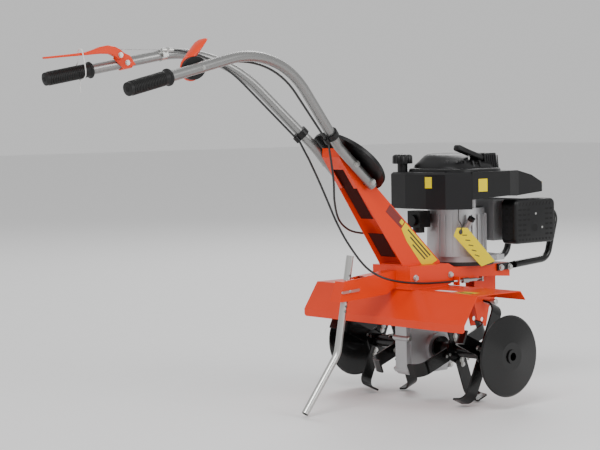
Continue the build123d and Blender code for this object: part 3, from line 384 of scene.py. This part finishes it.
wire_back = TUBE_END + GRIP_RUN * 175 + GRIP_SIDE * -22.6 + GRIP_UP * 35
wire_front = TUBE_END + GRIP_RUN * 292 + GRIP_SIDE * -22.6 + GRIP_UP * 13.5
wire_run = (wire_front - wire_back).normalized()
crown_corner = TUBE_CROWN + crown_inside * 31
clamp_end = TUBE_BEND + clamp_run * 34 + clamp_side
clutch_top = arc_between(wire_front + wire_run * 32, crown_corner + Vector((-15, 0, 0)), clamp_end,
                         CABLE_BEND)
throttle_top = arc_between(TUBE_END + GRIP_RUN * 244 + GRIP_SIDE * -20, crown_corner + Vector((-3, 0, 0)),
                           clamp_end, CABLE_BEND)
for word, side, top, low in (("clutch", -1, clutch_top, CLUTCH_ROUTE),
                             ("throttle", 1, throttle_top, THROTTLE_ROUTE)):
    upper = [on_handle(p, side) for p in top]
    lower = smooth_path(mm(*low))
    sheath = wire(f"{word}_sheath", upper + lower, CABLE_RADIUS, SHEATH, None)
    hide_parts(f"{word}_cable_upper", f"{word}_cable")
    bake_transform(sheath)
# ferrule and threaded stop at the clutch cable's lower end
turned("clutch_ferrule", (0.081, 0.007, 0.3), (0, 1, 0), [(0, 0.0029), (0.001, 0.0034), (0.014, 0.0034)],
       ZINC)
turned("clutch_stop", (0.081, 0.0242, 0.3), (0, 1, 0),
       [(0, 0.0046), (0.003, 0.0046), (0.0032, 0.0036), (0.009, 0.0036), (0.010, 0.0030)], ZINC)

# ---- clutch lever: folded channel over the left grip ---------------------------------------------
# outline of the lever's side, in mm along the grip and above its centre
lever_top = [(-8, 50), (40, 46), (96, 42), (114, 44), (134, 47.5), (154, 47.5), (170, 42), (183, 33),
             (191, 23)]
lever_low = [(-8, 45.5), (40, 41), (96, 35.5), (114, 34), (134, 32), (154, 28), (165, 21), (174, 13),
             (189, 11)]
LEVER_INNER, LEVER_OUTER = -29.6, -15.8
verts = []
for aside in (LEVER_INNER, LEVER_OUTER):
    for a, b in zip(lever_top, lever_low):
        verts += [grip_point(-1, a[0], aside, a[1]), grip_point(-1, b[0], aside, b[1])]
count = len(lever_top) * 2
faces = []
for k in range(len(lever_top) - 1):
    t0, b0, t1, b1 = 2 * k, 2 * k + 1, 2 * k + 2, 2 * k + 3
    faces += [(t0, t1, b1, b0), (count + t0, count + b0, count + b1, count + t1),
              (t0, count + t0, count + t1, t1), (b0, b1, count + b1, count + b0)]
faces += [(0, 1, count + 1, count), (count - 2, 2 * count - 2, 2 * count - 1, count - 1)]
blade = piece("lever_channel", verts, faces, ORANGE, "clutch_lever", edge=0.0016)
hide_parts("clutch_lever")
across_grip = grip_point(-1, 180, -10, 21) - grip_point(-1, 180, -15, 21)
turned("lever_pivot_head", grip_point(-1, 180, -15.5, 21), across_grip,
       [(0, 0.0068), (0.001, 0.0068), (0.0012, 0.0052), (0.0032, 0.0050), (0.0034, 0)], ZINC,
       "clutch_lever", count=24)

# ---- throttle paddle: hub ring and a spoon-shaped thumb tab --------------------------------------
# rings of the tab, in mm: along from the hub, above the grip, width and thickness
tab = [(-32, -4, 10, 9), (-10, 14, 20, 14), (14, 27, 28, 14), (34, 39, 32, 11), (46, 47, 32, 8),
       (54, 51.5, 26, 5), (58, 53, 14, 3)]
TAB_COUNT = 20
HUB_ALONG = 206
verts = []
for along, above, wide, thick in tab:
    for i in range(TAB_COUNT):
        a = 2 * pi * i / TAB_COUNT
        spot_along = HUB_ALONG + along + 0.5 * thick * 0.6 * cos(a)
        spot_aside = -27.5 - wide * sin(a) * 0.55 - 0.3 * (wide - 8)
        verts.append(grip_point(1, spot_along, spot_aside, above - thick * 0.45 * cos(a)))
spoon = piece("thumb_tab", verts, loft_faces(TAB_COUNT, len(tab)), ORANGE, "throttle", smooth=True)
spoon.data.set_sharp_from_angle(angle=radians(60))
hub_axis = grip_point(1, HUB_ALONG, -30) - grip_point(1, HUB_ALONG, -20)
ring = turned("throttle_ring", grip_point(1, 203, -23.5), hub_axis,
              [(0, 0.026), (0.001, 0.0275), (0.0065, 0.0275), (0.0078, 0.026), (0.0078, 0.012),
               (0.0066, 0.0)],
              ORANGE, "throttle", count=48)
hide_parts("throttle_paddle")

# ---- tie round the left grip and its lever -------------------------------------------------------
TIE_ALONG = 84
loop = [(0, -18.4), (-14, -16), (-28, -8), (-33.4, 10), (-33.4, 44), (-29, 50.4), (-17, 50.4), (-11, 44),
        (-6, 26), (16, 9), (18.4, -4), (11, -15.6)]
ring_path = [grip_point(-1, TIE_ALONG, aside, above) for aside, above in loop]
tie_tail = [grip_point(-1, TIE_ALONG - 2, 4, -30), grip_point(-1, TIE_ALONG, 9, -46)]
wire("tie_wrap", smooth_path(ring_path + ring_path[:1] + tie_tail), 0.0013, WHITE, "left_handle",
     count=8)

# ---- column decals -------------------------------------------------------------------------------
COLUMN_FOOT_HALF, COLUMN_TAPER = 41.5, 11.0
COLUMN_FOOT_Z, COLUMN_TALL = 345.0, 296.0
STICKER_LIFT, PRINT_LIFT = 0.25, 0.45


def column_face(side, y, z, lift):
    """Point on the column's tapering side plate, in metres, from mm."""
    half = COLUMN_FOOT_HALF - COLUMN_TAPER * (z - COLUMN_FOOT_Z) / COLUMN_TALL
    return Vector((side * (half + lift), y, z)) * MM


EDGE_FOOT, EDGE_HEAD = Vector((-1.0, 350.0)), Vector((-220.4, 554.9))
EDGE_RUN = (EDGE_HEAD - EDGE_FOOT).normalized()
EDGE_IN = Vector((-EDGE_RUN.y, EDGE_RUN.x))


def decal(name, side, outline, look, lift=STICKER_LIFT):
    """Sticker on the column's side, its corners given along the front edge and in from it."""
    spots = [EDGE_FOOT + EDGE_RUN * a + EDGE_IN * b for a, b in outline]
    return slab(name, [column_face(side, *s, lift) for s in spots], (side * 0.00012, 0, 0), look)


for side, word in SIDES:
    decal(f"{word}_column_panel", side, ((8, 3), (154, 3), (154, 24), (120, 36), (44, 47), (20, 30)), LABEL)
    decal(f"{word}_column_band", side, ((156, 3), (222, 3), (222, 26), (156, 24)), BAND)
    decal(f"{word}_column_dot", side, ((158, 5), (170, 5), (170, 16), (158, 16)), LABEL, PRINT_LIFT)
    for k in range(3):
        low, high, near = 34 + 4 * k, 136 - 18 * k, 9 + 9 * k
        line = ((low, near), (high, near), (high, near + 4), (low + 2, near + 4))
        decal(f"{word}_panel_line_{k}", side, line, INK, PRINT_LIFT)

# painted shade: dark sheets inside the column, seen through the two windows of its rear web, stand in for the
# shade in its hollow inside
SHADE = material("column_inside_painted_shade", (0.045, 0.004, 0.002), 0.7, shine=0.1)
WEB_FOOT, WEB_HEAD = Vector((0, -129, 345)), Vector((0, -325, 619))
web_run = (WEB_HEAD - WEB_FOOT).normalized()
web_in = Vector((0, web_run.z, -web_run.y))
for k, (low, high, half) in enumerate(((24, 98, 27), (144, 306, 22))):
    foot = WEB_FOOT + web_in * 5
    a, b = foot + web_run * low, foot + web_run * high
    across = Vector((half, 0, 0))
    # each window gets a dark sheet of painted shade just inside the web
    slab(f"column_painted_shade_{k}", [p * MM for p in (a - across, a + across, b + across, b - across)],
         web_in * 0.0006, SHADE)

# ---- handle disc: rim bead, ribs on one face and a boss ------------------------------------------
DISC_T = 65.6
RIB_COUNT = 24
RIB_INNER, RIB_OUTER, RIB_HALF = 38, 91, 0.9
disc_normal = head(0, 0, 1) - head(0, 0, 0)
turned("disc_rim", head(0, DISC_T, 16.5), disc_normal,
       [(0.0003, 0.0930), (0.0, 0.0945), (0.0002, 0.0985), (0.003, 0.0999), (0.0065, 0.0999),
        (0.0088, 0.0985), (0.009, 0.0950), (0.0084, 0.0930)], PLASTIC, count=72)
for k in range(RIB_COUNT):
    a = 2 * pi * k / RIB_COUNT
    u, w = (cos(a), sin(a)), (-sin(a), cos(a))
    quad = [head(r * u[0] + s * RIB_HALF * w[0], DISC_T + r * u[1] + s * RIB_HALF * w[1], 16.6)
            for r, s in ((RIB_INNER, -1), (RIB_OUTER, -1), (RIB_OUTER, 1), (RIB_INNER, 1))]
    slab(f"disc_rib_{k}", quad, disc_normal * 3.0, PLASTIC)
turned("disc_boss", head(0, DISC_T, 20), disc_normal,
       [(0, 0.030), (0.0047, 0.030), (0.0050, 0.026), (0.0046, 0.012), (0.0046, 0.0)], PLASTIC)

# ---- starter cover -------------------------------------------------------------------------------
CORNER_COUNT = 12
RING_COUNT = 4 * CORNER_COUNT


def rounded(x, y, z, wide, deep, corner):
    """Ring of points round a rounded rectangle, in metres, its place and sizes given in mm."""
    out = []
    for cx, cy, a0 in ((1, 1, 0), (-1, 1, 90), (-1, -1, 180), (1, -1, 270)):
        for k in range(CORNER_COUNT):
            a = radians(a0 + 90 * k / (CORNER_COUNT - 1))
            out.append(Vector((x + cx * (wide / 2 - corner) + corner * cos(a),
                               y + cy * (deep / 2 - corner) + corner * sin(a), z)) * MM)
    return out


def stack(name, rings, look):
    """Solid through a stack of rounded rectangles."""
    verts = []
    for r in rings:
        verts += rounded(*r)
    obj = piece(name, verts, loft_faces(RING_COUNT, len(rings)), look, smooth=True)
    obj.data.set_sharp_from_angle(angle=radians(34))
    return obj


cover = stack("starter_dome", [
    (10, 88, 573.2, 204, 200, 62), (10, 88, 578, 203, 199, 62), (9, 88, 581, 198, 195, 61),
    (8, 88.5, 582, 184, 186, 60), (6, 89, 583, 178, 182, 60), (5, 89, 590, 172, 177, 58),
    (2, 90, 599, 150, 162, 56), (-1, 90, 607, 132, 150, 54), (-4, 90, 613.5, 114, 136, 50),
    (-6, 90, 617.5, 96, 120, 44), (-6, 90, 618.8, 78, 100, 36)], PLASTIC)
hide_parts("starter_cover")
stack("starter_cap", [(-6, 90, 618.6, 62, 84, 30), (-6, 90, 619.0, 61, 83, 30)], TANK)
# vent tower with slanted slots
slab("vent_tower", mm((36, 126.8, 573.5), (84, 126.8, 573.5), (84, 172, 573.5), (36, 172, 573.5)),
     (-0.003, -0.005, 0.0455), PLASTIC, edge=0.003)
VENT_STEP = 7.4
# the vent slots are dark sheets of painted shadow
for k in range(5):
    y = 132 + VENT_STEP * k
    slot = mm((83.3, y + 4, 580), (83.3, y + 7.4, 580), (81.3, y + 4.4, 611), (81.3, y + 1, 611))
    slab(f"vent_slot_{k}", slot, (0.0005, 0, 0), PAINTED_SLOT_SHADOW)
for k in range(6):
    y = 130.6 + VENT_STEP * k
    rib = mm((83.4, y + 2, 577), (83.4, y + 4.6, 577), (81.4, y + 2.4, 613), (81.4, y - 0.2, 613))
    slab(f"vent_rib_{k}", rib, (0.0022, 0, 0), TANK, edge=0.0005)
# rounded air slots with ribs between them, round the dome's rear right shoulder
# the air slots are dark sheets of painted shadow
for k in range(5):
    a = radians(-62 + 15 * k)
    foot = Vector((5 + 86.6 * cos(a), 89 + 89 * sin(a), 584)) * MM
    out = Vector((cos(a), sin(a), 0))
    across = Vector((-sin(a), cos(a), 0))
    lean = (Vector((0, 0, 1)) * 0.94 - out * 0.34).normalized()
    quad = []
    for i in range(12):
        b = 2 * pi * i / 12
        quad.append(foot - out * 0.0025 + across * (0.0026 * cos(b)) + lean * (0.0065 + 0.0055 * sin(b)
                    + (0.0022 if sin(b) > 0 else -0.0022)))
    slab(f"dome_slot_{k}", quad, out * 0.0032, PAINTED_SLOT_SHADOW)
    root = foot + across * 0.0108 - out * 0.002
    half, tall = across * 0.0026, lean * 0.018
    slab(f"dome_rib_{k}", [root - half, root + half, root + half + tall, root - half + tall], out * 0.0062,
         TANK, edge=0.0008)

# ---- starter handle ------------------------------------------------------------------------------
recoil_run = Vector((0, 0.949, -0.316))
recoil_start = Vector((69, 34, 635)) * MM
recoil_up = Vector((0, 0.316, 0.949))
# rings of the handle, in mm: along it, width and height
pull_rings = ((0, 15, 10), (2, 21, 14.5), (6, 24, 16.6), (40, 22, 15), (48, 22, 15), (88, 24, 16.6),
              (93, 21, 14.5), (95, 15, 10))
PULL_COUNT = 20
PULL_SQUARENESS = 0.6
verts = []
for along, wide, tall in pull_rings:
    for i in range(PULL_COUNT):
        a = 2 * pi * i / PULL_COUNT
        cx = abs(cos(a)) ** PULL_SQUARENESS * (1 if cos(a) > 0 else -1)
        cy = abs(sin(a)) ** PULL_SQUARENESS * (1 if sin(a) > 0 else -1)
        verts.append(recoil_start + recoil_run * (along * MM) + Vector((1, 0, 0)) * (cx * wide / 2 * MM)
                     + recoil_up * (cy * tall / 2 * MM))
pull = piece("starter_handle", verts, loft_faces(PULL_COUNT, len(pull_rings)), PLASTIC,
             "recoil", smooth=True)
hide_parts("recoil_grip")
turned("starter_rope", (0.069, 0.079, 0.585), (0, 0, 1), [(0, 0.0022), (0.034, 0.0022)], WHITE,
       "recoil", count=16)

# ---- fuel cap ------------------------------------------------------------------------------------
cap = turned("knurled_cap", (-0.084, -0.006, 0.594), (0, 0, 1),
             [(0, 0.0255), (0.002, 0.0258), (0.018, 0.0256), (0.0215, 0.0235), (0.0245, 0.016),
              (0.0258, 0.0)],
             PLASTIC, "fuel_cap", count=120, waves=12, depth=0.07)
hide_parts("fuel_cap")

# ---- labels on the engine ------------------------------------------------------------------------
slab("tank_label", mm((26, -34.5, 534), (46, -30.4, 534), (46, -30.4, 562), (26, -34.5, 562)),
     (0.00006, -0.0003, 0), LABEL)
box("shroud_label", (0.12985, 0.050, 0.524), (0.13001, 0.082, 0.556), LABEL)
box("tip_label", (0.098, 0.280, 0.5385), (0.1085, 0.312, 0.5395), LABEL)

# ---- muffler guard -------------------------------------------------------------------------------
GUARD_Y, GUARD_Z = 0.259, 0.441
GUARD_WIDE, GUARD_TALL, GUARD_CORNER = 152, 114, 15
GUARD_FACE = 130.85
EXHAUST = (0.1309, 0.256, 0.424)
# distance from the machine's middle and how much the outline grows there, in mm
guard_steps = ((84, 0), (120, 0), (126, -0.6), (129.4, -2.6), (130.9, -6))
verts = []
for x, grow in guard_steps:
    ring = rounded(0, 0, 0, GUARD_WIDE + 2 * grow, GUARD_TALL + 2 * grow, GUARD_CORNER + grow)
    verts += [Vector((x * MM, p.x + GUARD_Y, p.y + GUARD_Z)) for p in ring]
guard = piece("muffler_cage", verts, loft_faces(RING_COUNT, len(guard_steps)), PLASTIC,
              smooth=True)
seam_smooth(guard)
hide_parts("muffler_guard")
turned("exhaust_port", EXHAUST, (1, 0, 0),
       [(0, 0.0125), (0.0004, 0.0125), (0.0004, 0.0102), (0.0002, 0.0100)], TANK, count=32)
# dark disc of painted shadow inside the exhaust hole
turned("exhaust_hole", EXHAUST, (1, 0, 0), [(0, 0.0098), (0.0005, 0.0096)], PAINTED_SLOT_SHADOW, count=32)
# the guard's slots below are dark sheets of painted shadow
for row in range(6):
    z = 404 + 13 * row
    for y, wide in ((194, 12), (211, 12), (228, 10), (296, 12), (313, 10)):
        if 240 > y > 225 and row in (1, 2):
            continue
        slot = mm((GUARD_FACE, y, z), (GUARD_FACE, y + wide, z), (GUARD_FACE, y + wide, z + 5),
                  (GUARD_FACE, y, z + 5))
        slab(f"guard_slot_{row}_{y}", slot, (0.0002, 0, 0), PAINTED_SLOT_SHADOW)
for y, z in ((260, 460), (284, 424)):
    turned(f"guard_screw_{y}", (0.1286, y * MM, z * MM), (1, 0, 0),
           [(0, 0.0075), (0.0012, 0.0075), (0.0014, 0.0055), (0.0022, 0.0050), (0.00245, 0.0)], ZINC,
           count=24)
for k in range(10):
    y = 196 + 12.6 * k
    slot = mm((130.9, y, 481), (130.9, y + 3.4, 481), (130.9, y + 7.8, 490), (130.9, y + 4.4, 490))
    slab(f"guard_top_slot_{k}", slot, (0.00015, 0, 0), PAINTED_SLOT_SHADOW)
    slot = mm((130.9, y, 392), (130.9, y + 5, 392), (130.9, y + 5, 397), (130.9, y, 397))
    slab(f"guard_low_slot_{k}", slot, (0.00015, 0, 0), PAINTED_SLOT_SHADOW)
for column_x in (96, 112):
    for k in range(5):
        z = 408 + 16 * k
        box(f"guard_rear_slot_{column_x}_{k}", (column_x * MM, 0.18290, z * MM),
            ((column_x + 9) * MM, 0.18305, (z + 5) * MM), PAINTED_SLOT_SHADOW)

# ---- engine block: cooling ribs round the crankcase and bolts on its flange ----------------------
CRANKCASE_CENTRE = Vector((-3, 104, 358))
for k in range(14):
    a = radians(-80 + 13.5 * k)
    out = Vector((cos(a), sin(a), 0))
    across = Vector((-sin(a), cos(a), 0))
    foot = CRANKCASE_CENTRE * MM + out * 0.0735
    half, tall = across * 0.0014, out * 0.0048
    slab(f"crankcase_rib_{k}", [foot - half, foot + half, foot + half + tall, foot - half + tall],
         (0, 0, 0.105), CAST)
for k in range(6):
    a = radians(-70 + 60 * k)
    if k in (2, 3):
        continue
    turned(f"flange_bolt_{k}", (0.080 * cos(a), 0.126 + 0.080 * sin(a), 0.357), (0, 0, 1),
           [(0, 0.0075), (0.0015, 0.0075), (0.0016, 0.0055), (0.006, 0.0055), (0.0066, 0.0048), (0.0066, 0)],
           ZINC, count=24)

# ---- fender stickers -----------------------------------------------------------------------------
FENDER_TOP = 0.28755
STICKER_THICK = 0.00013
# x and y limits, the look, and the lift of a print that lies on a sticker
fender_stickers = ((0.196, 0.246, -0.108, -0.070, LABEL, 0), (0.200, 0.242, -0.100, -0.086, INK, 0.0001),
                   (0.120, 0.180, -0.100, -0.078, WHITE, 0), (-0.246, -0.196, -0.108, -0.070, LABEL, 0))
for k, (x0, x1, y0, y1, look, lift) in enumerate(fender_stickers):
    z = FENDER_TOP + lift
    box(f"fender_sticker_{k}", (x0, y0, z), (x1, y1, z + STICKER_THICK), look)

# ---- spring clips --------------------------------------------------------------------------------


def clip(name, start, run, out, length, body):
    """Hairpin clip: a straight leg and a wavy leg joined by a loop."""
    r, o = Vector(run).normalized(), Vector(out).normalized()
    pts = [(0, 0), (0.70, 0), (0.86, 0.02), (1.0, 0.10), (0.94, 0.22), (0.80, 0.20), (0.62, 0.10),
           (0.46, 0.12), (0.32, 0.05), (0.16, 0.09), (0.04, 0.17)]
    return wire(name, smooth_path([Vector(start) + r * (a * length) + o * (b * length) for a, b in pts], 5),
                0.0011, ZINC, body, count=10)


for side, word in SIDES:
    for k, x in enumerate((0.118, 0.136)):
        clip(f"hub_clip_{word}_{k}", (side * x, -0.016, 0.1505), (0, 1, 0), (0, 0, -1), 0.036, "tines")

# ---- hang tag: card, knot and string -------------------------------------------------------------
tag_outline = mm((104, -10, 424), (104, -2, 436), (104, 34, 434), (104, 134, 344), (104, 84, 334),
                 (104, -14, 416))
tag = slab("tag_card", tag_outline, (0.0008, 0, 0), CARD)
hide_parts("hang_tag")
knot_profile = [(0, 0.004), (0.0008, 0.0062), (0.0022, 0.0066), (0.0032, 0.0045), (0.0036, 0.0)]
turned("tag_knot", (0.1036, 0.010, 0.425), (1, 0, 0), knot_profile, INK, count=18)
string_route = mm((104.6, 10, 425), (106, 14, 440), (103, 6, 455), (98, 10, 481))
wire("tag_string", smooth_path(string_route), 0.0011, INK)

# ---- hang tag print ------------------------------------------------------------------------------
for k in range(5):
    y0, z0 = 16 + 11 * k, 418 - 13 * k
    line = mm((104.85, y0, z0), (104.85, y0 + 17, z0 - 1 - k), (104.85, y0 + 17, z0 - 3.6 - k),
              (104.85, y0, z0 - 2.6))
    slab(f"tag_line_{k}", line, (0.00008, 0, 0), INK)

# ---- floor, light and camera ---------------------------------------------------------------------
floor_look = material("pale_floor", (0.86, 0.86, 0.86), 0.6, vary=0.05, tint=0.02)
floor_mesh = bpy.data.meshes.new("floor")
FLOOR_HALF = 30
floor_corners = [(-FLOOR_HALF, -FLOOR_HALF, 0), (FLOOR_HALF, -FLOOR_HALF, 0), (FLOOR_HALF, FLOOR_HALF, 0),
                 (-FLOOR_HALF, FLOOR_HALF, 0)]
floor_mesh.from_pydata(floor_corners, [], [(0, 1, 2, 3)])
floor = bpy.data.objects.new("floor", floor_mesh)
scene.collection.objects.link(floor)
floor_mesh.materials.append(floor_look)
floor.location.z = -0.0006

world = bpy.data.worlds.new("studio")
scene.world = world
world.use_nodes = True
world.node_tree.nodes["Background"].inputs["Color"].default_value = (1.0, 1.0, 1.0, 1)
world.node_tree.nodes["Background"].inputs["Strength"].default_value = 0.7


def lamp(name, spot, aim, size, power):
    """Soft area light."""
    data = bpy.data.lights.new(name, "AREA")
    data.shape = "RECTANGLE"
    data.size, data.size_y = size
    data.energy = power
    obj = bpy.data.objects.new(name, data)
    scene.collection.objects.link(obj)
    obj.location = spot
    obj.rotation_euler = (Vector(aim) - Vector(spot)).to_track_quat("-Z", "Y").to_euler()


lamp("key", (2.6, -4.6, 5.6), (0, -0.2, 0.4), (3.4, 2.6), 260)
lamp("side", (5.0, 1.4, 2.6), (0, 0, 0.4), (2.4, 2.4), 100)
lamp("back", (-3.4, 3.8, 4.2), (0, 0, 0.5), (3.0, 2.0), 120)

yaw, pitch, roll = radians(49.554), radians(-3.501), radians(-0.946)
forward = Vector((-sin(yaw) * cos(pitch), cos(yaw) * cos(pitch), sin(pitch)))
level = Vector((cos(yaw), sin(yaw), 0))
upward = level.cross(forward)
right = level * cos(roll) + upward * sin(roll)
upward = upward * cos(roll) - level * sin(roll)
camera_data = bpy.data.cameras.new("camera")
camera_data.sensor_width = 36.0
camera_data.lens = 105.0
camera = bpy.data.objects.new("camera", camera_data)
scene.collection.objects.link(camera)
place = Matrix((right, upward, -forward)).transposed().to_4x4()
place.translation = (3.1565, -3.1167, 0.7151)
camera.matrix_world = place
scene.camera = camera
